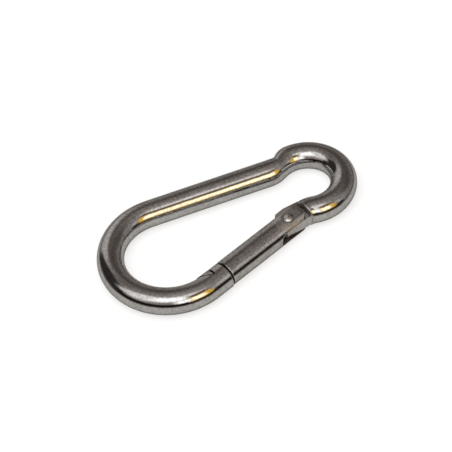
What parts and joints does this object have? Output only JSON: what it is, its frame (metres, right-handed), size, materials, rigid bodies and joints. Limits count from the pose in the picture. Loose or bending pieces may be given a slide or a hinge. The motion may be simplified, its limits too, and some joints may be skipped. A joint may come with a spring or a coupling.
{
  "type": "spring snap hook",
  "caption": "Round-bar spring snap hook with an open-necked eye, a wide bow and a hinged, barbed gate that a spring inside it holds shut.",
  "frame": {"origin": "centre of the eye, on the hook's mid-plane", "axes": "+X from the bow to the eye, the way a rope on the eye pulls; +Y from the gate to the spine; +Z square to the hook's plane"},
  "size_m": [0.0999, 0.0506, 0.0094],
  "materials": {
    "polished_bar": "stainless steel bar, bent and tumbled to a bright mirror polish",
    "polished_gate": "stainless steel bar, turned and polished, slightly duller than the hook",
    "rivet_steel": "stainless steel, peened heads, lightly hammered",
    "turned_steel": "stainless steel, as turned",
    "spring_wire": "drawn stainless spring wire"
  },
  "bodies": {
    "hook": {"hook_body": "polished_bar"},
    "gate": {"gate": "polished_gate", "hinge_rivet": "rivet_steel", "gate_spring": "spring_wire"},
    "plunger": {"spring_plunger": "turned_steel"}
  },
  "joints": [
    {"name": "gate_hinge", "type": "hinge", "parent": "hook", "child": "gate", "pos_m": [-0.01626, -0.01293, 0], "axis": [0, 0, -1], "range_deg": [0, 43]},
    {"name": "plunger_slide", "type": "slide", "parent": "gate", "child": "plunger", "axis": [-0.9814, -0.1922, 0], "range_m": [0, 0.00115], "deforming": ["gate_spring"]}
  ],
  "couplings": [
    {"joint": "plunger_slide", "follows": "gate_hinge", "m_per_rad": 0.0015}
  ]
}
